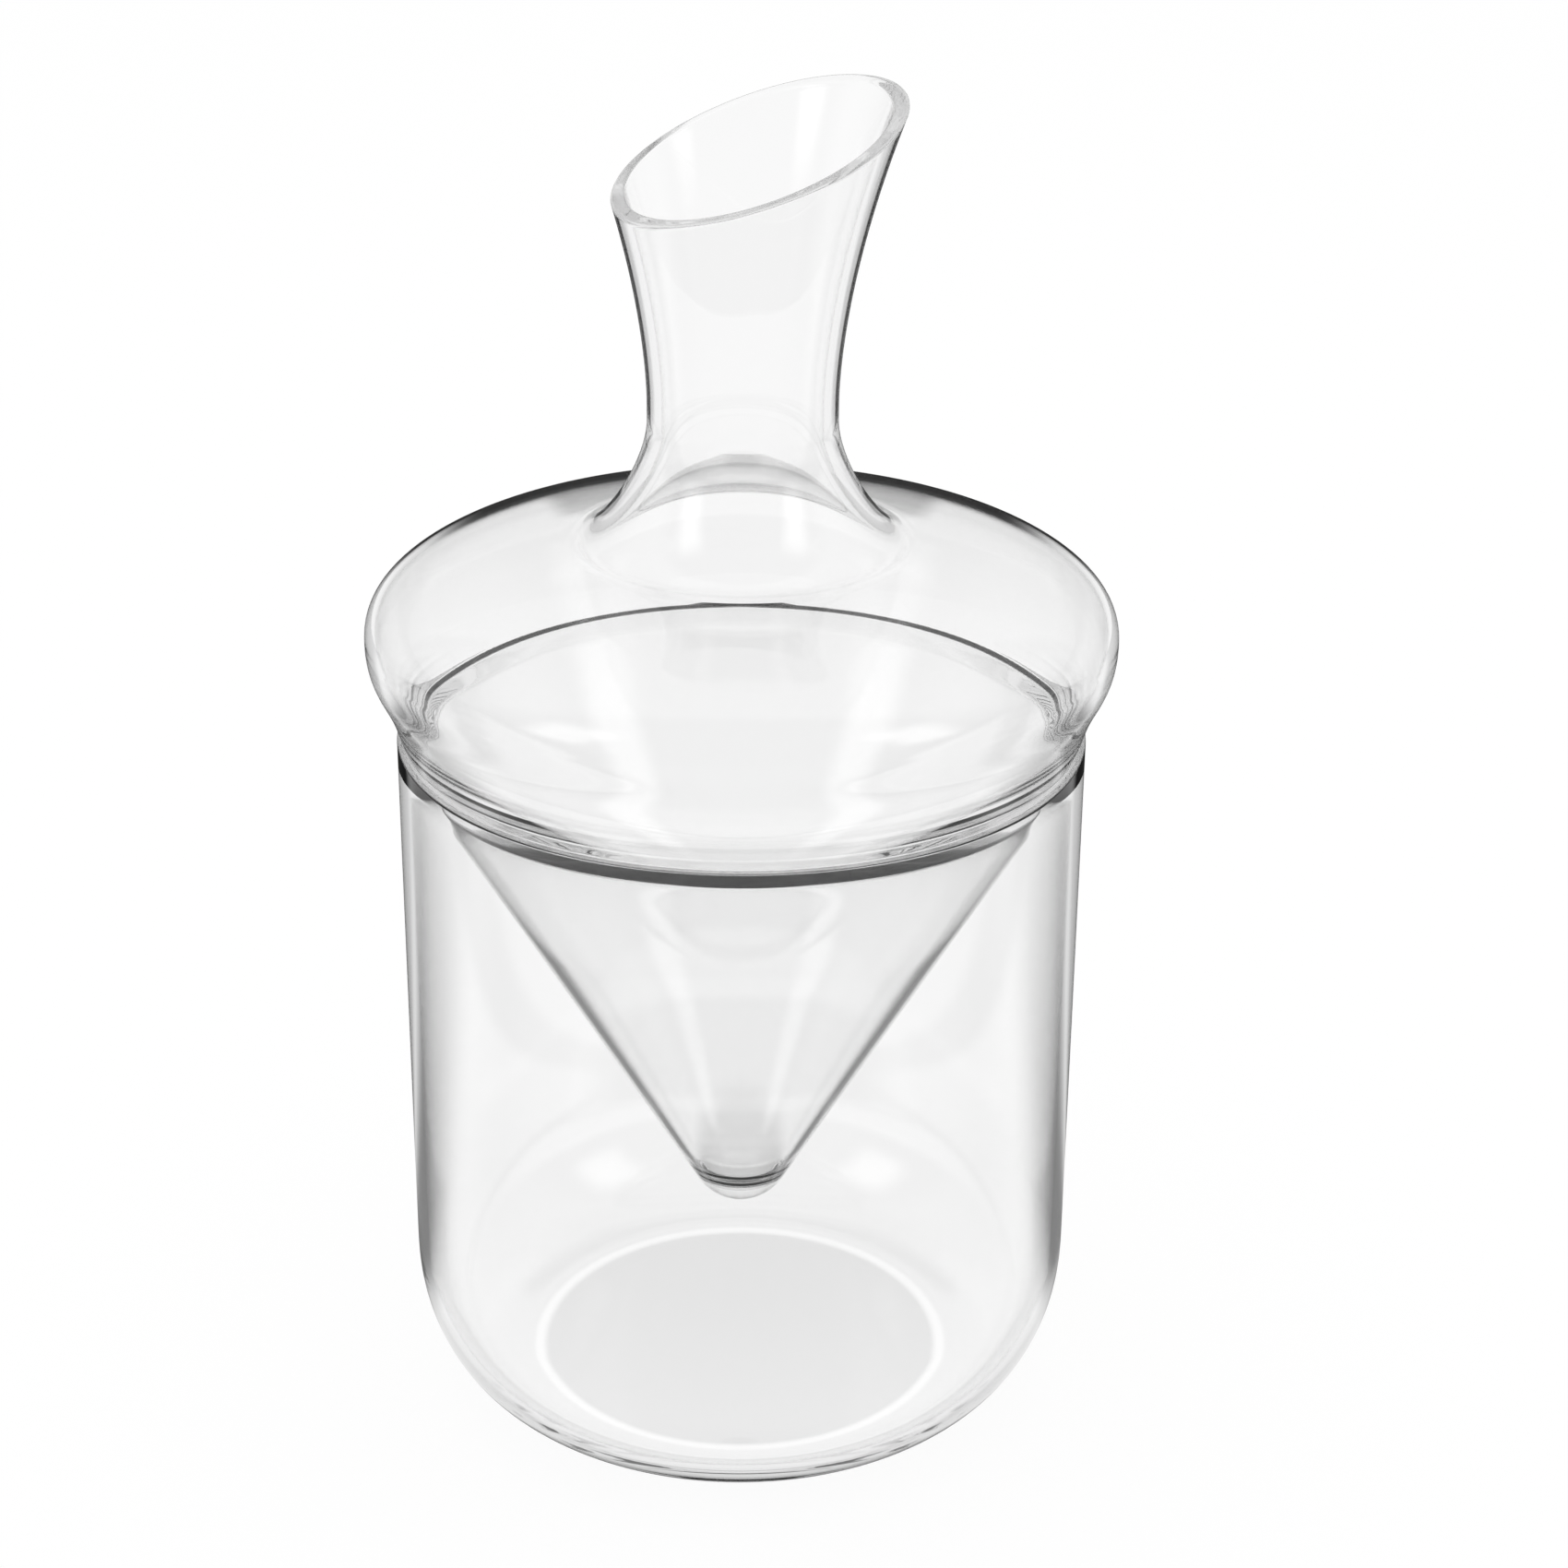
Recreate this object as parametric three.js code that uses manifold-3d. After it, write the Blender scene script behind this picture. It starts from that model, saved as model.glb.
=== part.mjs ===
// Wine carafe with its ice vessel: a blown glass carafe with a slanted mouth and a pointed belly,
// which hangs by a ledge on the rim of a straight glass vessel, so that its cone dips into the ice.
// Millimetres, +Z up, standing on Z = 0 with the high side of the mouth towards +X.

import * as THREE from 'three';
import { mergeVertices } from 'three/addons/utils/BufferGeometryUtils.js';
import Module from 'manifold-3d';

// Ice vessel
const VESSEL_DIAMETER = 140;
const VESSEL_HEIGHT = 149;
const VESSEL_WALL = 2.2;
const VESSEL_FLOOR = 3.2;
const FOOT_DIAMETER = 88;
const CORNER_HEIGHT = 33;
const CORNER_FULLNESS = 2.2;
const RIM_ROUND = 0.4;

// Carafe, from the tip of its cone up to its mouth
const CONE_DEPTH = 110;
const CONE_TIP_RADIUS = 11;
const SKIRT_DEPTH = 4.3;
const SKIRT_BLEND = 0.8;
const SEAT_ROUND = 0.3;
const BULGE_DIAMETER = 151.2;
const BULGE_RISE = 21.7;
const BULGE_TAPER = THREE.MathUtils.degToRad(12);
const BULGE_LOW_REACH = 13.8;
const BULGE_HIGH_REACH = 8.8;
const DOME_RISE = 20.7;
const DOME_FULLNESS = 2.35;
const NECK_DIAMETER = 37.6;
const NECK_FILLET = 16;
const FLARE_START = 68.7;
const FLARE_POWER = 1.73;
const MOUTH_RISE = 117.4;
const MOUTH_DIAMETER = 56;
const MOUTH_TILT = THREE.MathUtils.degToRad(20);

// Thickness of the carafe's glass, which is strongest at the tip and around the seat
const TIP_GLASS = 5.5;
const CONE_GLASS = 1.6;
const SEAT_GLASS = 1.95;
const BODY_GLASS = 2.2;
const NECK_GLASS = 2.9;

// Inside of the carafe at the seat: a plain funnel, without the step of the outside
const FUNNEL_DEPTH = 39;
const THROAT_DEPTH = 1;
const THROAT_TAPER = THREE.MathUtils.degToRad(28);
const THROAT_LOW_REACH = 15;
const THROAT_HIGH_REACH = 10;
const HOLLOW_REACH = 6;

// Fits between the two pieces
const SEAT_CLEARANCE = 0.3;
const SKIRT_CLEARANCE = 1.1;
const LEDGE_INSET = 1;

// Fineness of the turned surfaces
const TURN_STEPS = 48;
const CORNER_STEPS = 7;
const DOME_STEPS = 7;
const FLARE_STEPS = 6;

// Places that follow from the sizes
const vesselRadius = VESSEL_DIAMETER / 2;
const ledgeHeight = VESSEL_HEIGHT + SEAT_CLEARANCE;
const ledgeRadius = vesselRadius - LEDGE_INSET;
const skirtRadius = vesselRadius - VESSEL_WALL - SKIRT_CLEARANCE;
const skirtFoot = VESSEL_HEIGHT - SKIRT_DEPTH;
const funnelHeight = VESSEL_HEIGHT - FUNNEL_DEPTH;
const bulgeHeight = VESSEL_HEIGHT + BULGE_RISE;
const flareHeight = VESSEL_HEIGHT + FLARE_START;
const mouthHeight = VESSEL_HEIGHT + MOUTH_RISE;

// The cone's side runs from the skirt's foot to touch the round of the tip.
const tipHeight = VESSEL_HEIGHT - CONE_DEPTH;
const tipToSkirt = new THREE.Vector2(skirtRadius, skirtFoot - tipHeight - CONE_TIP_RADIUS);
const coneAngle = Math.atan2(tipToSkirt.x, tipToSkirt.y) - Math.asin(CONE_TIP_RADIUS / tipToSkirt.length());
const coneApex = skirtFoot - skirtRadius / Math.tan(coneAngle);

const { Manifold, Mesh } = await loadSolids();

async function loadSolids() {
  const wasm = await Module();
  wasm.setup();
  return wasm;
}

// A point of a profile: how far from the axis, and how high.
function at(radius, height) {
  return new THREE.Vector2(radius, height);
}

// A quarter of a superellipse: how far out its point is, as shares of its two half-axes.
function fullQuarter(angle, fullness) {
  return at(Math.cos(angle) ** (2 / fullness), Math.sin(angle) ** (2 / fullness));
}

// A corner rounded between two points, with its tip at the middle one.
function roundCorner(from, tip, to, steps) {
  return new THREE.QuadraticBezierCurve(from, tip, to).getPoints(steps);
}

// A point some way on from another, at an angle from the upright.
function onward(from, angle, distance) {
  return at(from.x + distance * Math.sin(angle), from.y + distance * Math.cos(angle));
}

// The round of the cone's tip, up to where it touches the cone's side.
function tipLine(tipGlass, coneGlass) {
  const apex = coneApex + coneGlass / Math.sin(coneAngle);
  const tip = tipHeight + tipGlass;
  const round = (tip - apex) / (1 / Math.sin(coneAngle) - 1);
  return new THREE.EllipseCurve(0, tip + round, round, round, -Math.PI / 2, -coneAngle, false).getPoints(5);
}

// The seat: the skirt within the rim, the flat ledge that rests on the rim, and the ledge's outer corner.
function seatLine() {
  const foot = at(skirtRadius, skirtFoot);
  const inner = at(skirtRadius, ledgeHeight);
  const outer = at(ledgeRadius, ledgeHeight);
  return [
    ...roundCorner(onward(foot, coneAngle, -SKIRT_BLEND), foot, onward(foot, 0, SKIRT_BLEND), 3),
    ...roundCorner(onward(inner, 0, -SEAT_ROUND), inner, at(skirtRadius + SEAT_ROUND, ledgeHeight), 2),
    ...roundCorner(at(ledgeRadius - SEAT_ROUND, ledgeHeight), outer, onward(outer, BULGE_TAPER, SEAT_ROUND), 2),
  ];
}

// The bulge from the ledge's corner to its widest ring, where it stands upright.
function bulgeLine() {
  const start = onward(at(ledgeRadius, ledgeHeight), BULGE_TAPER, SEAT_ROUND);
  const widest = at(BULGE_DIAMETER / 2, bulgeHeight);
  const leaving = onward(start, BULGE_TAPER, BULGE_LOW_REACH);
  const arriving = onward(widest, 0, -BULGE_HIGH_REACH);
  return new THREE.CubicBezierCurve(start, leaving, arriving, widest).getPoints(7);
}

// The inside from the cone through the throat at the seat to the widest ring.
function funnelLine() {
  const apex = coneApex + CONE_GLASS / Math.sin(coneAngle);
  const start = at((funnelHeight - apex) * Math.tan(coneAngle), funnelHeight);
  const throat = at(skirtRadius - SEAT_GLASS, VESSEL_HEIGHT - THROAT_DEPTH);
  const widest = at(BULGE_DIAMETER / 2 - BODY_GLASS, bulgeHeight);
  const below = new THREE.CubicBezierCurve(
    start,
    onward(start, coneAngle, THROAT_LOW_REACH),
    onward(throat, THROAT_TAPER, -THROAT_LOW_REACH),
    throat,
  );
  const above = new THREE.CubicBezierCurve(
    throat,
    onward(throat, THROAT_TAPER, THROAT_HIGH_REACH),
    onward(widest, 0, -HOLLOW_REACH),
    widest,
  );
  return [...below.getPoints(4), ...above.getPoints(7)];
}

// The dome from the widest ring, and the fillet that lifts it into the neck.
function domeLine(bodyGlass, neckGlass) {
  const radius = BULGE_DIAMETER / 2 - bodyGlass;
  const rise = DOME_RISE - bodyGlass;
  const neck = NECK_DIAMETER / 2 - neckGlass;
  const share = (neck + NECK_FILLET) / radius;
  const last = Math.acos(share ** (DOME_FULLNESS / 2));
  const points = [];
  for (let step = 1; step <= DOME_STEPS; step += 1) {
    const quarter = fullQuarter((last * step) / DOME_STEPS, DOME_FULLNESS);
    points.push(at(radius * quarter.x, bulgeHeight + rise * quarter.y));
  }
  const foot = points.at(-1);
  const slope = (rise / radius) * ((share * rise) / (foot.y - bulgeHeight)) ** (DOME_FULLNESS - 1);
  const leaving = at(foot.x - 0.55 * NECK_FILLET, foot.y + 0.55 * NECK_FILLET * slope);
  const top = at(neck, foot.y + NECK_FILLET);
  const arriving = at(neck, top.y - 0.55 * NECK_FILLET);
  return [...points, ...new THREE.CubicBezierCurve(foot, leaving, arriving, top).getPoints(6)];
}

// The neck, which opens towards the mouth and runs on past its slanted cut.
function neckLine(neckGlass) {
  const neck = NECK_DIAMETER / 2;
  const height = mouthHeight - flareHeight;
  const top = height + MOUTH_DIAMETER * Math.tan(MOUTH_TILT);
  const points = [];
  for (let step = 0; step <= FLARE_STEPS; step += 1) {
    const rise = (top * step) / FLARE_STEPS;
    const opening = (MOUTH_DIAMETER / 2 - neck) * (rise / height) ** FLARE_POWER;
    points.push(at(neck + opening - neckGlass, flareHeight + rise));
  }
  return points;
}

// Turns a profile about the Z axis, leaving out points that repeat the one before.
function turn(profile) {
  const points = profile.filter((point, i) => i === 0 || point.distanceTo(profile[i - 1]) > 1e-6);
  return new THREE.LatheGeometry(points, TURN_STEPS).rotateX(Math.PI / 2);
}

// A closed geometry as a solid for cutting.
function toSolid(geometry) {
  const bare = geometry.clone();
  bare.deleteAttribute('normal');
  bare.deleteAttribute('uv');
  const merged = mergeVertices(bare, 1e-4);
  const corners = merged.index.array;
  const kept = [];
  for (let i = 0; i < corners.length; i += 3) {
    const [a, b, c] = corners.slice(i, i + 3);
    if (a !== b && b !== c && c !== a) kept.push(a, b, c);
  }
  const vertProperties = new Float32Array(merged.attributes.position.array);
  return new Manifold(new Mesh({ numProp: 3, vertProperties, triVerts: new Uint32Array(kept) }));
}

// A solid back as a geometry.
function toGeometry(solid) {
  const mesh = solid.getMesh();
  const geometry = new THREE.BufferGeometry();
  geometry.setAttribute('position', new THREE.BufferAttribute(mesh.vertProperties, mesh.numProp));
  geometry.setIndex(new THREE.BufferAttribute(mesh.triVerts, 1));
  geometry.computeVertexNormals();
  return geometry;
}

// Everything above the slanted plane of the mouth, highest towards +X.
function aboveMouth() {
  const size = 4 * MOUTH_DIAMETER;
  const block = new THREE.BoxGeometry(size, size, size);
  block.translate(0, 0, size / 2);
  block.rotateY(-MOUTH_TILT);
  return block.translate(0, 0, mouthHeight);
}

function carafe() {
  const outside = [...tipLine(0, 0), ...seatLine(), ...bulgeLine(), ...domeLine(0, 0), ...neckLine(0)];
  const inside = [
    ...tipLine(TIP_GLASS, CONE_GLASS),
    ...funnelLine(),
    ...domeLine(BODY_GLASS, NECK_GLASS),
    ...neckLine(NECK_GLASS),
  ];
  const blown = turn([...outside, ...inside.reverse()]);
  return toGeometry(toSolid(blown).subtract(toSolid(aboveMouth())));
}

// The vessel's corner from the edge of the flat foot up to the upright wall.
function cornerLine(wall, floor) {
  const foot = FOOT_DIAMETER / 2;
  const points = [];
  for (let step = 0; step <= CORNER_STEPS; step += 1) {
    const quarter = fullQuarter((Math.PI / 2) * (1 - step / CORNER_STEPS), CORNER_FULLNESS);
    const out = (vesselRadius - wall - foot) * quarter.x;
    points.push(at(foot + out, CORNER_HEIGHT - (CORNER_HEIGHT - floor) * quarter.y));
  }
  return points;
}

// The rim, flat on top with a small round along both edges.
function rimLine() {
  const edge = VESSEL_HEIGHT - RIM_ROUND;
  const corners = [vesselRadius - RIM_ROUND, vesselRadius - VESSEL_WALL + RIM_ROUND];
  return corners.flatMap((centre, side) => {
    const from = (side * Math.PI) / 2;
    return new THREE.EllipseCurve(centre, edge, RIM_ROUND, RIM_ROUND, from, from + Math.PI / 2).getPoints(2);
  });
}

function iceVessel() {
  const outside = cornerLine(0, 0);
  const inside = cornerLine(VESSEL_WALL, VESSEL_FLOOR).reverse();
  return turn([at(0, 0), ...outside, ...rimLine(), ...inside, at(0, VESSEL_FLOOR)]);
}

function clearGlass(name) {
  return new THREE.MeshStandardMaterial({
    name,
    color: 0xf3f5f5,
    roughness: 0.02,
    metalness: 0,
    transparent: true,
    opacity: 0.35,
  });
}

function piece(name, geometry) {
  const mesh = new THREE.Mesh(geometry, clearGlass(`${name}_glass`));
  mesh.name = name;
  return mesh;
}

const carafeOnIce = new THREE.Group();
carafeOnIce.name = 'wine_carafe';
carafeOnIce.add(piece('ice_vessel', iceVessel()));
carafeOnIce.add(piece('carafe', carafe()));

export default carafeOnIce;
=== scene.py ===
"""Looks of the wine carafe and its ice vessel: two pieces of clear glass in a bright studio."""

import math

import bmesh
import bpy
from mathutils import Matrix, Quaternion, Vector


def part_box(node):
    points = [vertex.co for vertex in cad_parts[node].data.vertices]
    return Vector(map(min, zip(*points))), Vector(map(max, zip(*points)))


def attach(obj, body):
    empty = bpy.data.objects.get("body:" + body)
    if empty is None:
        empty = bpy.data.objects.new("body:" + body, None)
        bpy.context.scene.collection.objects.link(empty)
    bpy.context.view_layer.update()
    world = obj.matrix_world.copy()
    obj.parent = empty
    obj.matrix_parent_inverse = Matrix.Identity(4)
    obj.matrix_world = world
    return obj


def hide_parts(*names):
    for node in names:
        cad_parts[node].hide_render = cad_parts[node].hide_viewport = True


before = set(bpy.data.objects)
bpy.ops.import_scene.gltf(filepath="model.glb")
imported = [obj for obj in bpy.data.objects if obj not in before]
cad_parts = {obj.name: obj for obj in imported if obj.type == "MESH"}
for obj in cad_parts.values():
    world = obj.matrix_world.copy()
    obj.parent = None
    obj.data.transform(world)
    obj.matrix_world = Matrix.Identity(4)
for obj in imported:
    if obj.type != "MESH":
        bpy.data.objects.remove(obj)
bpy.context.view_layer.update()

MM = 0.001

# Sizes that come from the frame, in metres
vessel_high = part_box("ice_vessel")[1]
carafe_low, carafe_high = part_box("carafe")
VESSEL_RADIUS = vessel_high.x
RIM_HEIGHT = vessel_high.z
BULGE_RADIUS = carafe_high.x
TIP_HEIGHT = carafe_low.z

# Ice vessel
VESSEL_WALL = 2.2 * MM
VESSEL_FLOOR = 3.2 * MM
FOOT_RADIUS = 44 * MM
CORNER_HEIGHT = 33 * MM
CORNER_FULLNESS = 2.2
RIM_ROUND = 0.4 * MM

# Carafe, from the tip of its cone up to its mouth
TIP_RADIUS = 11 * MM
SKIRT_DEPTH = 4.3 * MM
SKIRT_BLEND = 0.8 * MM
SKIRT_CLEARANCE = 1.1 * MM
SEAT_CLEARANCE = 0.3 * MM
SEAT_ROUND = 0.3 * MM
LEDGE_INSET = 1.0 * MM
BULGE_RISE = 21.7 * MM
BULGE_TAPER = math.radians(12)
BULGE_LOW_REACH = 13.8 * MM
BULGE_HIGH_REACH = 8.8 * MM
DOME_RISE = 20.7 * MM
DOME_FULLNESS = 2.35
NECK_RADIUS = 18.8 * MM
ROOT_WIDTH = 15.7 * MM
ROOT_HEIGHT = 24.7 * MM
ROOT_LOW_REACH = 6.5 * MM
ROOT_HIGH_REACH = 9 * MM
FLARE_START = 68.7 * MM
FLARE_POWER = 1.73
MOUTH_RISE = 117.4 * MM
MOUTH_RADIUS = 28 * MM
MOUTH_TILT = math.radians(20)
LIP_ROUND = 0.6 * MM

# Thickness of the carafe's glass, and the plain funnel of its inside at the seat
TIP_GLASS = 5.5 * MM
CONE_GLASS = 1.6 * MM
SEAT_GLASS = 1.95 * MM
BODY_GLASS = 2.2 * MM
ROOT_GLASS = 2.5 * MM
NECK_GLASS = 2.9 * MM
FUNNEL_DEPTH = 39 * MM
THROAT_DEPTH = 1 * MM
THROAT_TAPER = math.radians(28)
THROAT_LOW_REACH = 15 * MM
THROAT_HIGH_REACH = 10 * MM
HOLLOW_REACH = 6 * MM

# Fineness of the turned glass: steps around the axis, and along the stretches of the two profiles
TURN_STEPS = 160
TIP_STEPS = 20
CONE_STEPS = 24
HOLLOW_CONE_STEPS = 12
SEAT_ROUND_STEPS = 8
SEAT_FLAT_STEPS = 6
BULGE_STEPS = 32
DOME_STEPS = 40
ROOT_STEPS = 24
NECK_STEPS = 40
LIP_ROUND_STEPS = 4
LIP_FLAT_STEPS = 3
FLOOR_STEPS = 10
CORNER_STEPS = 40
WALL_STEPS = 24
RIM_ROUND_STEPS = 6
RIM_FLAT_STEPS = 4
SLANT_PASSES = 12
MERGE_DISTANCE = 0.001 * MM

# Clear glass, and how often a ray is followed through it
GLASS_IOR = 1.5
MIRROR_BOUNCES = 96
GLASS_BOUNCES = 64

# Camera, found by fitting the outline in the photograph
CAMERA_AZIMUTH = math.radians(-29.1)
CAMERA_DISTANCE = 614.5 * MM
CAMERA_HEIGHT = 413.1 * MM
CAMERA_PITCH = math.radians(24.27)
CAMERA_ASIDE = math.radians(0.812)
CAMERA_ROLL = math.radians(0.52)
CAMERA_LENS = 75.2
CAMERA_SENSOR = 36
CAMERA_CLIP = 10 * MM

# The studio below is painted reflection: the floor and the room show its levels, dark cards and strips only
# to rays that the glass has mirrored, while straight rays find plain white. In each pair a soft change
# starts at the first value and is complete at the second.
# Bearings around the glass, from straight behind it, as the cosines of their angles
STRAIGHT_BEHIND = (0.64, 0.745)
OUTER_CARD_BEHIND = (0.77, 0.53)
OUTER_CARD_BEFORE = (-0.03, 0.31)
INNER_CARD_BEHIND = (0.87, 0.77)
INNER_CARD_BEFORE = (0.47, 0.62)
BACK_STRIP = (0.935, 0.97)
NEAR_STRIP = (0.95, 0.995)
FAR_STRIP = (0.97, 0.985)
ROOM_GAP_SIDE = (0.965, 0.985)
ROOM_CARD_SIDE = (0.9905, 0.9935)
ROOM_STRIP_SIDE = (0.86, 0.94)
BEFORE_GLASS = (0.1, -0.3)

# Distances on the floor from the axis, in metres
OUTER_NEAR = (0.062, 0.057)
INNER_NEAR = (0.036, 0.026)
BEFORE_START = (0.1, 0.18)
CARD_END = (0.45, 0.3)
STRIP_START = (0.3, 0.45)
FAR_FLOOR = (1.3, 1.8)

# Heights of directions in the room, as the sines of their angles
ROOM_GAP_TOP = (0.08, 0.03)
ROOM_CARD_TOP = (0.25, 0.21)
ROOM_STRIP_LOW = (0.6, 0.66)
ROOM_STRIP_TOP = (0.88, 0.83)
PIPED_TOP = (0.64, 0.72)

# Painted reflection: levels that only mirrored rays find on the floor
FLOOR_BEHIND = 0.9
FLOOR_BEFORE = 0.4
FLOOR_INNER = 0.95
FLOOR_PIPED = 0.85
OUTER_CARD = 0.22
INNER_CARD = 0.35
NEAR_LEVEL = 0.3
FIRST_DARK = 0.03
NEAR_DARK = 0.02
TWICE_DARK = 0.02

# Painted reflection: levels that only mirrored rays find in the room
ROOM_BEHIND = 0.68
ROOM_BEFORE = 0.32
ROOM_PIPED = 0.68
ROOM_GAP = 0.05
ROOM_STRIP = 0.024
ROOM_TWICE = 0.016
ROOM_PIPED_HIGH = 0.016

# Limits for counts of mirrorings and of faces gone through, each between two whole numbers
ANY_COUNT = 0.5
TWICE_COUNT = 1.5
OUTER_COUNT = 2.5
PIPED_COUNT = 7.5
LONG_PIPED_COUNT = 49.5

# What straight rays find: a painted shadow of the foot and a painted ring of caustic light around it, with
# edges measured from the edge of the foot
PAINTED_FOOT_SHADE = 0.12
PAINTED_FOOT_RING_LIGHT = 0.12
SHADE_EDGE = (-0.6 * MM, -1.8 * MM)
RING_INSIDE = (-1.2 * MM, 0.2 * MM)
RING_OUTSIDE = (2.2 * MM, 0.8 * MM)

# The floor's body: its share of even light, its pale colour for the rest, its reach and its place
FLOOR_GLOW = 0.95
FLOOR_PALE = (0.9, 0.9, 0.9, 1)
FLOOR_REACH = 6
FLOOR_DROP = 0.3 * MM
WHITE = (1, 1, 1, 1)

# Painted softbox highlights, which only mirrored rays find, and the lamp for the floor's shadow
BOX_ASIDE = math.radians(58)
BOX_ELEVATION = math.radians(32)
BOX_WIDE = (0.24, 0.06)
BOX_HIGH = (0.4, 0.15)
BOX_LEVEL = 1.44
LAMP_HEIGHT = 1.4
LAMP_SIZE = 1.2
LAMP_LEVEL = 1.0


def at(radius, height):
    """A point of a profile in the XZ plane."""
    return Vector((radius, 0, height))


def arc(centre, radius, first, last, steps):
    """Points on a round of the profile, between two angles from the horizontal."""
    angles = [first + (last - first) * i / steps for i in range(steps + 1)]
    return [centre + radius * at(math.cos(a), math.sin(a)) for a in angles]


def curve(a, b, c, d, steps):
    """Points on a cubic curve from a to d that leaves towards b and arrives from c."""
    points = []
    for i in range(steps + 1):
        t = i / steps
        s = 1 - t
        points.append(s * s * s * a + 3 * s * s * t * b + 3 * s * t * t * c + t * t * t * d)
    return points


def round_corner(start, tip, end, steps):
    """A corner rounded between two points, with its tip at the middle one."""
    return curve(start, start.lerp(tip, 2 / 3), end.lerp(tip, 2 / 3), end, steps)


def straight(start, end, steps):
    """Points between two others, without the two themselves."""
    return [start.lerp(end, i / steps) for i in range(1, steps)]


def full_quarter(angle, fullness):
    """A quarter of a superellipse, as shares of its two half-axes."""
    return math.cos(angle) ** (2 / fullness), math.sin(angle) ** (2 / fullness)


def cone_side():
    """The cone's half-angle and the height of its apex, from the skirt's foot and the round tip."""
    skirt = VESSEL_RADIUS - VESSEL_WALL - SKIRT_CLEARANCE
    foot = RIM_HEIGHT - SKIRT_DEPTH
    rise = foot - TIP_HEIGHT - TIP_RADIUS
    angle = math.atan2(skirt, rise) - math.asin(TIP_RADIUS / math.hypot(skirt, rise))
    return skirt, angle, foot - skirt / math.tan(angle)


def onward(start, angle, distance):
    """A point some way on from another, at an angle from the upright."""
    return start + distance * at(math.sin(angle), math.cos(angle))


def tip_line(tip_glass, cone_glass):
    angle, apex = cone_side()[1:]
    apex += cone_glass / math.sin(angle)
    tip = TIP_HEIGHT + tip_glass
    radius = (tip - apex) / (1 / math.sin(angle) - 1)
    return arc(at(0, tip + radius), radius, -math.pi / 2, -angle, TIP_STEPS)


def seat_line():
    """The skirt within the vessel's rim, the ledge that rests on the rim, and the ledge's outer corner."""
    skirt, angle, apex = cone_side()
    ledge = RIM_HEIGHT + SEAT_CLEARANCE
    foot = at(skirt, apex + skirt / math.tan(angle))
    inner = at(skirt, ledge)
    outer = at(VESSEL_RADIUS - LEDGE_INSET, ledge)
    aside = at(SEAT_ROUND, 0)
    foot_start = onward(foot, angle, -SKIRT_BLEND)
    corner_end = onward(outer, BULGE_TAPER, SEAT_ROUND)
    foot_round = round_corner(foot_start, foot, onward(foot, 0, SKIRT_BLEND), SEAT_ROUND_STEPS)
    hollow = round_corner(onward(inner, 0, -SEAT_ROUND), inner, inner + aside, SEAT_ROUND_STEPS)
    corner = round_corner(outer - aside, outer, corner_end, SEAT_ROUND_STEPS)
    skirt_side = straight(foot_round[-1], hollow[0], SEAT_FLAT_STEPS)
    ledge_flat = straight(hollow[-1], corner[0], SEAT_FLAT_STEPS)
    return [*foot_round, *skirt_side, *hollow, *ledge_flat, *corner]


def bulge_line(start):
    widest = at(BULGE_RADIUS, RIM_HEIGHT + BULGE_RISE)
    leaving = onward(start, BULGE_TAPER, BULGE_LOW_REACH)
    return curve(start, leaving, onward(widest, 0, -BULGE_HIGH_REACH), widest, BULGE_STEPS)[1:]


def funnel_line():
    """The inside from the cone through the throat at the seat to the widest ring."""
    skirt, angle, apex = cone_side()
    apex += CONE_GLASS / math.sin(angle)
    height = RIM_HEIGHT - FUNNEL_DEPTH
    start = at((height - apex) * math.tan(angle), height)
    throat = at(skirt - SEAT_GLASS, RIM_HEIGHT - THROAT_DEPTH)
    widest = at(BULGE_RADIUS - BODY_GLASS, RIM_HEIGHT + BULGE_RISE)
    below = onward(throat, THROAT_TAPER, -THROAT_LOW_REACH)
    above = onward(throat, THROAT_TAPER, THROAT_HIGH_REACH)
    lower = curve(start, onward(start, angle, THROAT_LOW_REACH), below, throat, BULGE_STEPS)
    upper = curve(throat, above, onward(widest, 0, -HOLLOW_REACH), widest, BULGE_STEPS)
    return [*lower, *upper[1:]]


def dome_line():
    """The dome from the widest ring up to the neck's root, and its slope there."""
    widest = RIM_HEIGHT + BULGE_RISE
    share = (NECK_RADIUS + ROOT_WIDTH) / BULGE_RADIUS
    last = math.acos(share ** (DOME_FULLNESS / 2))
    points = []
    for i in range(DOME_STEPS + 1):
        out, up = full_quarter(last * i / DOME_STEPS, DOME_FULLNESS)
        points.append(at(BULGE_RADIUS * out, widest + DOME_RISE * up))
    rise = points[-1].z - widest
    return points, DOME_RISE / BULGE_RADIUS * (share * DOME_RISE / rise) ** (DOME_FULLNESS - 1)


def root_line(foot, slope):
    """The hollow round from the dome up into the neck."""
    top = onward(at(NECK_RADIUS, foot.z), 0, ROOT_HEIGHT)
    leaving = foot + ROOT_LOW_REACH * at(-1, slope)
    return curve(foot, leaving, onward(top, 0, -ROOT_HIGH_REACH), top, ROOT_STEPS)


def dome_within(outside):
    """The dome's inside, at an even thickness of glass."""
    last = len(outside) - 1
    inside = []
    for i, point in enumerate(outside):
        course = outside[min(i + 1, last)] - outside[max(i - 1, 0)]
        inside.append(point + BODY_GLASS * at(-course.z, course.x).normalized())
    return inside


def root_within(outside, slope):
    """The root's inside: the same round further in and down, thickening into the neck's glass."""
    drop = BODY_GLASS * math.hypot(1, slope) - ROOT_GLASS * slope
    last = len(outside) - 1
    glass = [ROOT_GLASS + (NECK_GLASS - ROOT_GLASS) * (i / last) ** 3 for i in range(last + 1)]
    return [point - at(inward, drop) for point, inward in zip(outside, glass)]


def flare(height):
    """The neck's outer radius at a height."""
    rise = max(0, height - RIM_HEIGHT - FLARE_START)
    return NECK_RADIUS + (MOUTH_RADIUS - NECK_RADIUS) * (rise / (MOUTH_RISE - FLARE_START)) ** FLARE_POWER


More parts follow.
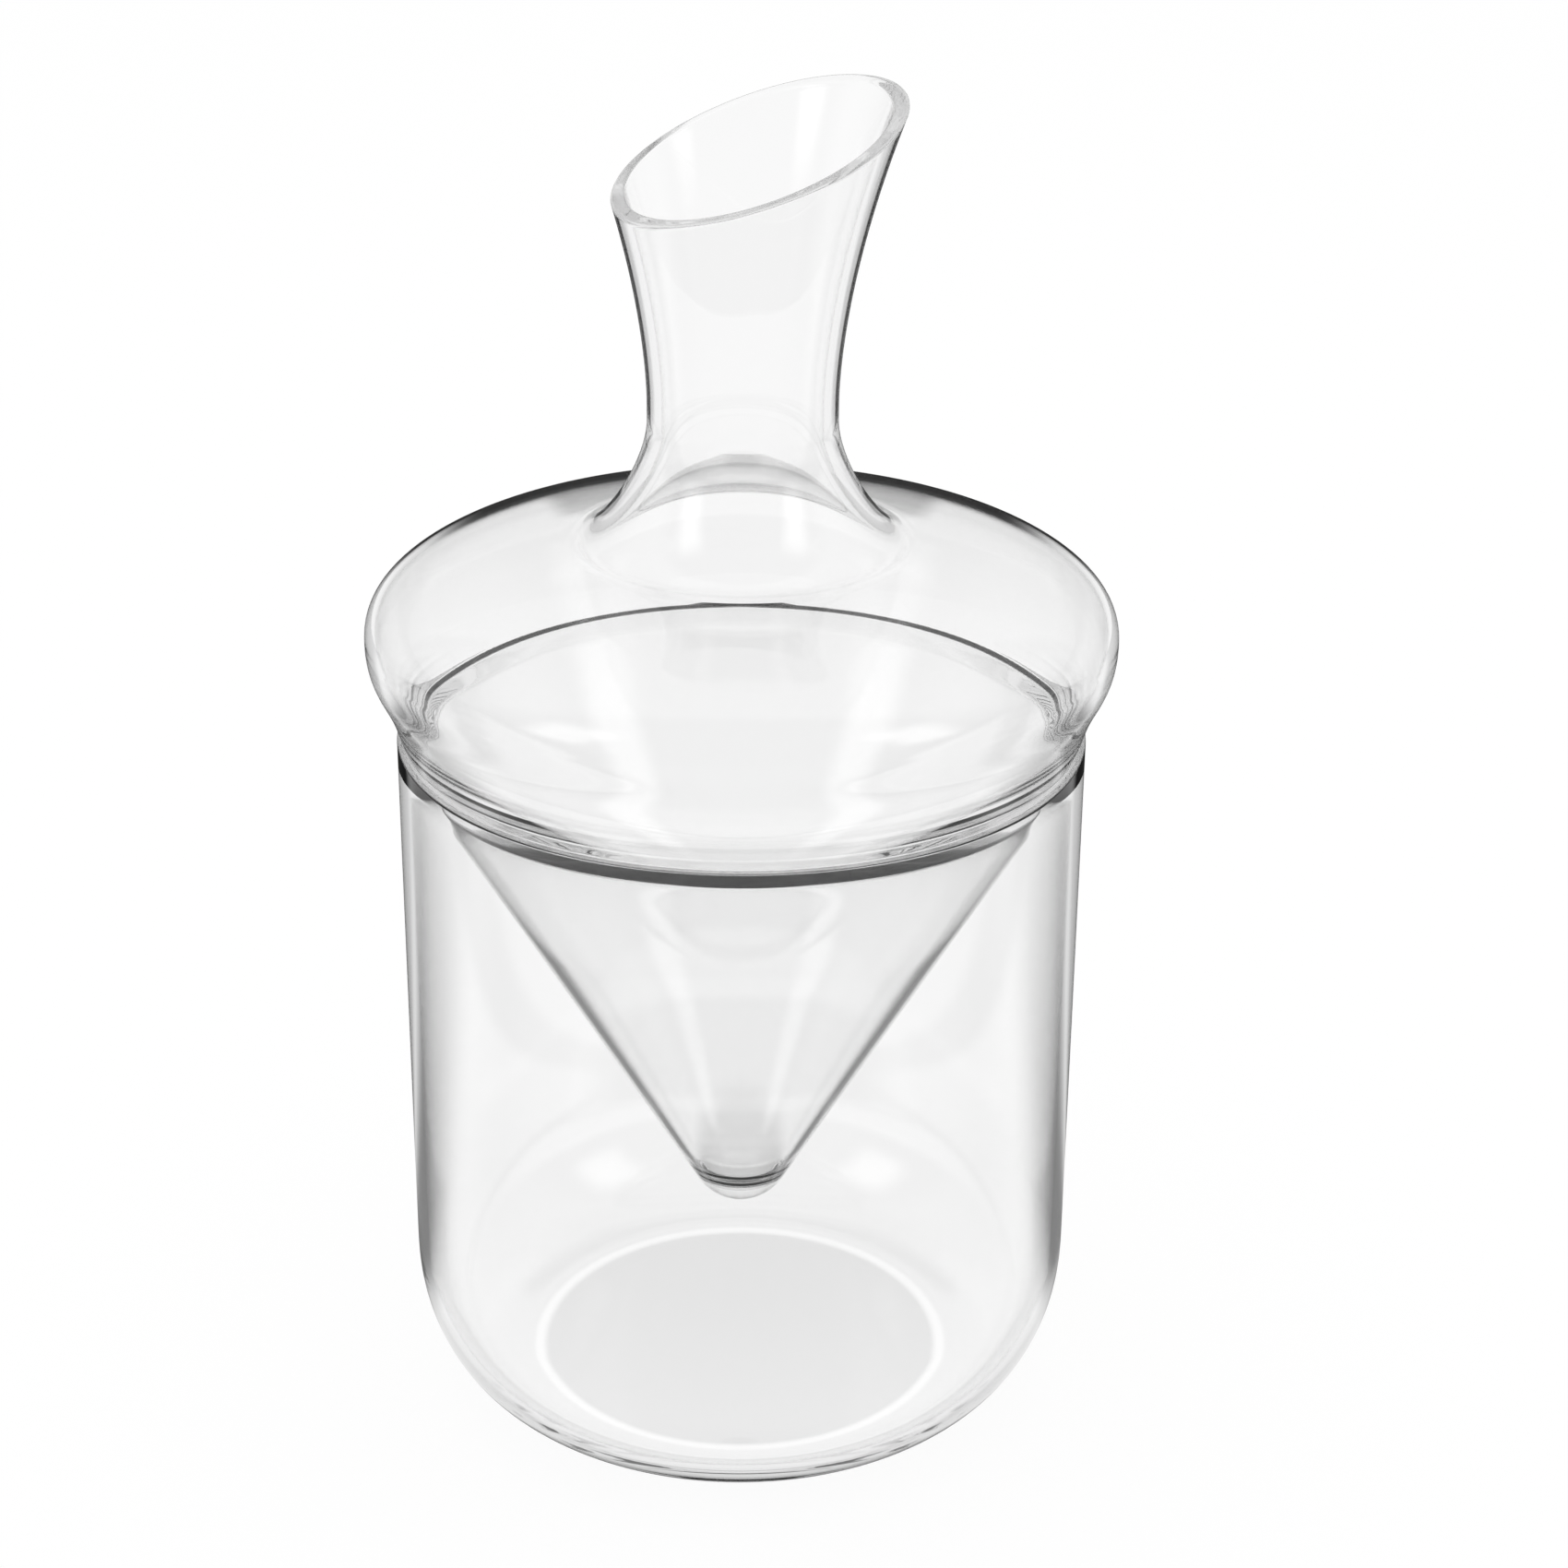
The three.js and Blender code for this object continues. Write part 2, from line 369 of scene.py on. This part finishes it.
def neck_line(neck_glass):
    """One face of the neck up to a level mouth, which is slanted after the turning."""
    foot = RIM_HEIGHT + FLARE_START
    heights = [foot + (MOUTH_RISE - FLARE_START) * i / NECK_STEPS for i in range(NECK_STEPS + 1)]
    heights[-1] -= LIP_ROUND
    return [at(flare(height) - neck_glass, height) for height in heights]


def lip_line():
    """The lip, ground flat, with a small round along both of its edges."""
    top = RIM_HEIGHT + MOUTH_RISE
    below = top - LIP_ROUND
    outside = flare(below)
    inside = outside - NECK_GLASS
    flat_outer = at(outside - LIP_ROUND, top)
    flat_inner = at(inside + LIP_ROUND, top)
    outer = round_corner(at(outside, below), at(outside, top), flat_outer, LIP_ROUND_STEPS)
    inner = round_corner(flat_inner, at(inside, top), at(inside, below), LIP_ROUND_STEPS)
    return [*outer[1:], *straight(outer[-1], inner[0], LIP_FLAT_STEPS), *inner[:-1]]


def slant_mouth(bm):
    """Tilts the level mouth, keeping every ring of the neck on the flare."""
    foot = RIM_HEIGHT + FLARE_START
    mouth = RIM_HEIGHT + MOUTH_RISE
    slope = math.tan(MOUTH_TILT)
    for vert in bm.verts:
        share = (vert.co.z - foot) / (mouth - foot)
        if share > 0:
            radius = math.hypot(vert.co.x, vert.co.y)
            depth = flare(vert.co.z) - radius
            towards_high_side = vert.co.x / radius
            lip = mouth
            for _ in range(SLANT_PASSES):
                lip = mouth + (flare(lip) - depth) * towards_high_side * slope
            height = foot + share * (lip - foot)
            around = (flare(height) - depth) / radius
            vert.co = Vector((vert.co.x * around, vert.co.y * around, height))


def turn_line(bm, points):
    """Spins a line about the Z axis into a surface."""
    verts = [bm.verts.new(p) for p in points]
    edges = [bm.edges.new(pair) for pair in zip(verts, verts[1:])]
    bmesh.ops.spin(
        bm, geom=[*verts, *edges], cent=(0, 0, 0), axis=(0, 0, 1),
        angle=2 * math.pi, steps=TURN_STEPS, use_merge=True,
    )


def to_piece(bm, name, material):
    """Closes up a bmesh and makes it an object of the scene, with smooth shading."""
    bmesh.ops.remove_doubles(bm, verts=bm.verts, dist=MERGE_DISTANCE)
    bmesh.ops.recalc_face_normals(bm, faces=bm.faces)
    for face in bm.faces:
        face.smooth = True
    mesh = bpy.data.meshes.new(name)
    bm.to_mesh(mesh)
    bm.free()
    mesh.materials.append(material)
    piece = bpy.data.objects.new(name, mesh)
    bpy.context.scene.collection.objects.link(piece)
    return piece


def blown_carafe(material):
    tip = tip_line(0, 0)
    seat = seat_line()
    dome, slope = dome_line()
    root = root_line(dome[-1], slope)
    outside = [*tip, *straight(tip[-1], seat[0], CONE_STEPS), *seat, *bulge_line(seat[-1])]
    outside += [*dome[1:], *root[1:], *neck_line(0)]
    hollow_tip = tip_line(TIP_GLASS, CONE_GLASS)
    funnel = funnel_line()
    inside = [*hollow_tip, *straight(hollow_tip[-1], funnel[0], HOLLOW_CONE_STEPS), *funnel]
    inside += [*dome_within(dome)[1:], *root_within(root, slope), *neck_line(NECK_GLASS)]
    bm = bmesh.new()
    turn_line(bm, [*outside, *lip_line(), *inside[::-1]])
    slant_mouth(bm)
    return to_piece(bm, "carafe_glass", material)


def corner_line(wall, floor):
    """The vessel's corner from the edge of its flat foot up to the upright wall."""
    width = VESSEL_RADIUS - wall - FOOT_RADIUS
    points = []
    for i in range(CORNER_STEPS + 1):
        out, down = full_quarter(math.pi / 2 * (1 - i / CORNER_STEPS), CORNER_FULLNESS)
        points.append(at(FOOT_RADIUS + width * out, CORNER_HEIGHT - (CORNER_HEIGHT - floor) * down))
    return points


def rim_line():
    """The rim, flat on top, with a small round along both edges."""
    edge = RIM_HEIGHT - RIM_ROUND
    inner = VESSEL_RADIUS - VESSEL_WALL + RIM_ROUND
    outer_round = arc(at(VESSEL_RADIUS - RIM_ROUND, edge), RIM_ROUND, 0, math.pi / 2, RIM_ROUND_STEPS)
    inner_round = arc(at(inner, edge), RIM_ROUND, math.pi / 2, math.pi, RIM_ROUND_STEPS)
    return [*outer_round, *straight(outer_round[-1], inner_round[0], RIM_FLAT_STEPS), *inner_round]


def straight_vessel(material):
    under = at(0, 0)
    within = at(0, VESSEL_FLOOR)
    outer = corner_line(0, 0)
    rim = rim_line()
    inner = corner_line(VESSEL_WALL, VESSEL_FLOOR)[::-1]
    outside = [under, *straight(under, outer[0], FLOOR_STEPS), *outer]
    outside += straight(outer[-1], rim[0], WALL_STEPS)
    inside = [*straight(rim[-1], inner[0], WALL_STEPS), *inner]
    inside += [*straight(inner[-1], within, FLOOR_STEPS), within]
    bm = bmesh.new()
    turn_line(bm, [*outside, *rim, *inside])
    return to_piece(bm, "vessel_glass", material)


def new_material(name):
    material = bpy.data.materials.new(name)
    material.use_nodes = True
    nodes = material.node_tree.nodes
    nodes.clear()
    return material, nodes, material.node_tree.links


def clear_glass(name):
    material, nodes, links = new_material(name)
    shader = nodes.new("ShaderNodeBsdfPrincipled")
    shader.inputs["Base Color"].default_value = WHITE
    shader.inputs["Roughness"].default_value = 0.0
    shader.inputs["IOR"].default_value = GLASS_IOR
    shader.inputs["Transmission Weight"].default_value = 1.0
    output = nodes.new("ShaderNodeOutputMaterial")
    links.new(shader.outputs["BSDF"], output.inputs["Surface"])
    return material


def combine(tree, operation, first, second):
    """A maths node of two values, each a socket or a number."""
    node = tree.nodes.new("ShaderNodeMath")
    node.operation = operation
    for socket, value in zip(node.inputs, (first, second)):
        if isinstance(value, bpy.types.NodeSocket):
            tree.links.new(value, socket)
        else:
            socket.default_value = value
    return node.outputs[0]


def soft_step(tree, value, limits):
    """A soft rise from 0 at the first limit to 1 at the second."""
    start, end = limits
    node = tree.nodes.new("ShaderNodeMapRange")
    node.interpolation_type = "SMOOTHSTEP"
    node.inputs["From Min"].default_value = start
    node.inputs["From Max"].default_value = end
    tree.links.new(value, node.inputs["Value"])
    return node.outputs["Result"]


def blend(tree, share, first, second):
    """A mix of two values, each a socket or a number."""
    node = tree.nodes.new("ShaderNodeMix")
    node.data_type = "FLOAT"
    for socket, value in zip(node.inputs, (share, None, first, second)):
        if isinstance(value, bpy.types.NodeSocket):
            tree.links.new(value, socket)
        elif value is not None:
            socket.default_value = value
    return node.outputs[0]


def along(tree, vector, direction):
    """How far a vector goes along a direction."""
    node = tree.nodes.new("ShaderNodeVectorMath")
    node.operation = "DOT_PRODUCT"
    node.inputs[1].default_value = direction
    tree.links.new(vector, node.inputs[0])
    return node.outputs["Value"]


def level_part(tree, vector):
    """The level part of a vector as its length and its direction."""
    flat = tree.nodes.new("ShaderNodeVectorMath")
    flat.operation = "MULTIPLY"
    flat.inputs[1].default_value = (1, 1, 0)
    tree.links.new(vector, flat.inputs[0])
    size = tree.nodes.new("ShaderNodeVectorMath")
    size.operation = "LENGTH"
    tree.links.new(flat.outputs["Vector"], size.inputs[0])
    unit = tree.nodes.new("ShaderNodeVectorMath")
    unit.operation = "NORMALIZE"
    tree.links.new(flat.outputs["Vector"], unit.inputs[0])
    return size.outputs["Value"], unit.outputs["Vector"]


def ray_kinds(tree):
    """Sorts rays by how often they were mirrored and how many faces of glass they went through."""
    rays = tree.nodes.new("ShaderNodeLightPath")
    mirrored = rays.outputs["Glossy Depth"]
    through = rays.outputs["Transmission Depth"]
    return {
        "mirrored": combine(tree, "GREATER_THAN", mirrored, ANY_COUNT),
        "twice": combine(tree, "GREATER_THAN", mirrored, TWICE_COUNT),
        "piped": combine(tree, "GREATER_THAN", mirrored, PIPED_COUNT),
        "short": combine(tree, "LESS_THAN", mirrored, LONG_PIPED_COUNT),
        "first": combine(tree, "LESS_THAN", through, ANY_COUNT),
        "outer": combine(tree, "LESS_THAN", through, OUTER_COUNT),
    }


def straight_behind():
    """The level direction in which the camera looks."""
    return Vector((-math.sin(CAMERA_AZIMUTH), math.cos(CAMERA_AZIMUTH), 0))


def both(tree, first, second):
    """The share in which two shares overlap."""
    return combine(tree, "MULTIPLY", first, second)


def outer_floor(tree, rays, distance, bearing):
    """The painted reflection on the floor, with its dark cards and strips, for rays that only the outer
    faces of the glass have mirrored.
    """
    before = both(tree, soft_step(tree, bearing, BEFORE_GLASS), soft_step(tree, distance, BEFORE_START))
    level = blend(tree, before, FLOOR_BEHIND, FLOOR_BEFORE)
    behind = soft_step(tree, bearing, OUTER_CARD_BEHIND)
    card = both(tree, behind, soft_step(tree, bearing, OUTER_CARD_BEFORE))
    level = blend(tree, both(tree, card, soft_step(tree, distance, CARD_END)), level, OUTER_CARD)
    level = blend(tree, soft_step(tree, bearing, NEAR_STRIP), level, NEAR_LEVEL)
    strip = both(tree, soft_step(tree, distance, STRIP_START), soft_step(tree, bearing, BACK_STRIP))
    first = both(tree, rays["first"], soft_step(tree, bearing, STRAIGHT_BEHIND))
    narrow = blend(tree, soft_step(tree, distance, FAR_FLOOR), 1.0, soft_step(tree, bearing, FAR_STRIP))
    dark = both(tree, combine(tree, "MAXIMUM", strip, first), narrow)
    level = blend(tree, dark, level, FIRST_DARK)
    near = both(tree, rays["first"], soft_step(tree, distance, OUTER_NEAR))
    return blend(tree, near, level, NEAR_DARK)


def inner_floor(tree, rays, distance, bearing):
    """The painted reflection on the floor, with its dark card, for rays that the inner faces of the glass
    have mirrored.
    """
    behind = soft_step(tree, bearing, INNER_CARD_BEHIND)
    card = both(tree, behind, soft_step(tree, bearing, INNER_CARD_BEFORE))
    level = blend(tree, card, FLOOR_INNER, INNER_CARD)
    level = blend(tree, rays["twice"], level, TWICE_DARK)
    return blend(tree, soft_step(tree, distance, INNER_NEAR), level, NEAR_DARK)


def straight_floor(tree, distance):
    """The floor for straight rays: white, with a painted shadow of the foot and a painted ring of caustic
    light around it.
    """
    from_foot = combine(tree, "SUBTRACT", distance, FOOT_RADIUS)
    # Painted shadow: the floor's glow is lowered under the foot
    level = blend(tree, soft_step(tree, from_foot, SHADE_EDGE), 1.0, 1.0 - PAINTED_FOOT_SHADE)
    # Painted caustic light: a bright ring is added around the foot
    ring = both(tree, soft_step(tree, from_foot, RING_INSIDE), soft_step(tree, from_foot, RING_OUTSIDE))
    return combine(tree, "ADD", level, both(tree, ring, PAINTED_FOOT_RING_LIGHT))


def floor_level(tree, place, rays):
    distance, bearing = level_part(tree, place)
    bearing = along(tree, bearing, straight_behind())
    inner = inner_floor(tree, rays, distance, bearing)
    level = blend(tree, rays["outer"], inner, outer_floor(tree, rays, distance, bearing))
    level = blend(tree, rays["piped"], level, FLOOR_PIPED)
    # Mirrored rays find the painted reflection; straight rays find the white floor with its painted foot
    # shadow
    return blend(tree, rays["mirrored"], straight_floor(tree, distance), level)


def white_floor():
    bm = bmesh.new()
    bmesh.ops.create_grid(bm, x_segments=1, y_segments=1, size=FLOOR_REACH)
    bmesh.ops.translate(bm, verts=bm.verts, vec=(0, 0, -FLOOR_DROP))
    mesh = bpy.data.meshes.new("floor")
    bm.to_mesh(mesh)
    bm.free()
    floor = bpy.data.objects.new("floor", mesh)
    bpy.context.scene.collection.objects.link(floor)
    material, nodes, links = new_material("floor_white")
    tree = material.node_tree
    place = nodes.new("ShaderNodeTexCoord")
    rays = ray_kinds(tree)
    level = floor_level(tree, place.outputs["Object"], rays)
    light = nodes.new("ShaderNodeEmission")
    links.new(level, light.inputs["Strength"])
    plain = nodes.new("ShaderNodeBsdfDiffuse")
    plain.inputs["Color"].default_value = FLOOR_PALE
    mix = nodes.new("ShaderNodeMixShader")
    links.new(combine(tree, "MAXIMUM", rays["mirrored"], FLOOR_GLOW), mix.inputs[0])
    links.new(plain.outputs["BSDF"], mix.inputs[1])
    links.new(light.outputs["Emission"], mix.inputs[2])
    output = nodes.new("ShaderNodeOutputMaterial")
    links.new(mix.outputs["Shader"], output.inputs["Surface"])
    mesh.materials.append(material)


def painted_softbox_highlight(tree, direction, aside):
    """A painted highlight: a soft bright window to one side of the camera, which only rays that the glass
    has mirrored find.
    """
    azimuth = CAMERA_AZIMUTH + aside
    out = Vector((math.sin(azimuth), -math.cos(azimuth), 0))
    upward = Vector((0, 0, 1))
    middle = math.cos(BOX_ELEVATION) * out + math.sin(BOX_ELEVATION) * upward
    across = out.cross(upward)
    height = across.cross(middle)
    wide = combine(tree, "ABSOLUTE", along(tree, direction, across), 0)
    high = combine(tree, "ABSOLUTE", along(tree, direction, height), 0)
    facing = combine(tree, "GREATER_THAN", along(tree, direction, middle), 0)
    window = both(tree, soft_step(tree, wide, BOX_WIDE), soft_step(tree, high, BOX_HIGH))
    return both(tree, both(tree, window, facing), BOX_LEVEL)


def studio_world():
    world = bpy.data.worlds.new("studio")
    bpy.context.scene.world = world
    world.use_nodes = True
    tree = world.node_tree
    tree.nodes.clear()
    rays = ray_kinds(tree)
    direction = tree.nodes.new("ShaderNodeTexCoord").outputs["Generated"]
    bearing = along(tree, level_part(tree, direction)[1], straight_behind())
    level = blend(tree, soft_step(tree, bearing, BEFORE_GLASS), ROOM_BEHIND, ROOM_BEFORE)
    height = along(tree, direction, (0, 0, 1))
    gap = both(tree, soft_step(tree, height, ROOM_GAP_TOP), soft_step(tree, bearing, ROOM_GAP_SIDE))
    card = both(tree, soft_step(tree, height, ROOM_CARD_TOP), soft_step(tree, bearing, ROOM_CARD_SIDE))
    outer = blend(tree, combine(tree, "MAXIMUM", gap, card), level, ROOM_GAP)
    strip = both(tree, soft_step(tree, height, ROOM_STRIP_LOW), soft_step(tree, height, ROOM_STRIP_TOP))
    strip = both(tree, strip, soft_step(tree, bearing, ROOM_STRIP_SIDE))
    inner = blend(tree, strip, level, ROOM_STRIP)
    inner = blend(tree, rays["twice"], inner, ROOM_TWICE)
    level = blend(tree, rays["outer"], inner, outer)
    for aside in (-BOX_ASIDE, BOX_ASIDE):
        level = combine(tree, "ADD", level, painted_softbox_highlight(tree, direction, aside))
    high = both(tree, rays["short"], soft_step(tree, height, PIPED_TOP))
    piped = blend(tree, high, ROOM_PIPED, ROOM_PIPED_HIGH)
    level = blend(tree, rays["piped"], level, piped)
    background = tree.nodes.new("ShaderNodeBackground")
    background.inputs["Color"].default_value = WHITE
    # Only mirrored rays find the painted room levels and softbox highlights; all other rays find plain
    # white
    tree.links.new(blend(tree, rays["mirrored"], 1.0, level), background.inputs["Strength"])
    output = tree.nodes.new("ShaderNodeOutputWorld")
    tree.links.new(background.outputs["Background"], output.inputs["Surface"])


def top_lamp():
    """One broad soft lamp overhead, for the shadow on the floor."""
    data = bpy.data.lights.new("top_lamp", "AREA")
    data.size = LAMP_SIZE
    data.energy = LAMP_LEVEL * math.pi * LAMP_SIZE * LAMP_SIZE
    lamp = bpy.data.objects.new("top_lamp", data)
    bpy.context.scene.collection.objects.link(lamp)
    lamp.location = (0, 0, LAMP_HEIGHT)
    lamp.visible_glossy = False
    lamp.visible_transmission = False


def photo_camera():
    data = bpy.data.cameras.new("photo_camera")
    data.lens = CAMERA_LENS
    data.sensor_width = CAMERA_SENSOR
    data.clip_start = CAMERA_CLIP
    camera = bpy.data.objects.new("photo_camera", data)
    bpy.context.scene.collection.objects.link(camera)
    camera.location = Vector((0, 0, CAMERA_HEIGHT)) - CAMERA_DISTANCE * straight_behind()
    camera.rotation_mode = "QUATERNION"
    heading = Quaternion((0, 0, 1), CAMERA_AZIMUTH - CAMERA_ASIDE)
    pitch = Quaternion((1, 0, 0), math.pi / 2 - CAMERA_PITCH)
    roll = Quaternion((0, 0, 1), CAMERA_ROLL)
    camera.rotation_quaternion = heading @ pitch @ roll
    bpy.context.scene.camera = camera


def main():
    scene = bpy.context.scene
    scene.view_settings.view_transform = "Standard"
    scene.cycles.max_bounces = MIRROR_BOUNCES
    scene.cycles.transmission_bounces = GLASS_BOUNCES
    scene.cycles.glossy_bounces = MIRROR_BOUNCES
    carafe = blown_carafe(clear_glass("carafe_clear_glass"))
    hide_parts("carafe")
    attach(carafe, "carafe")
    vessel = straight_vessel(clear_glass("vessel_clear_glass"))
    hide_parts("ice_vessel")
    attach(vessel, "vessel")
    white_floor()
    studio_world()
    top_lamp()
    photo_camera()


main()
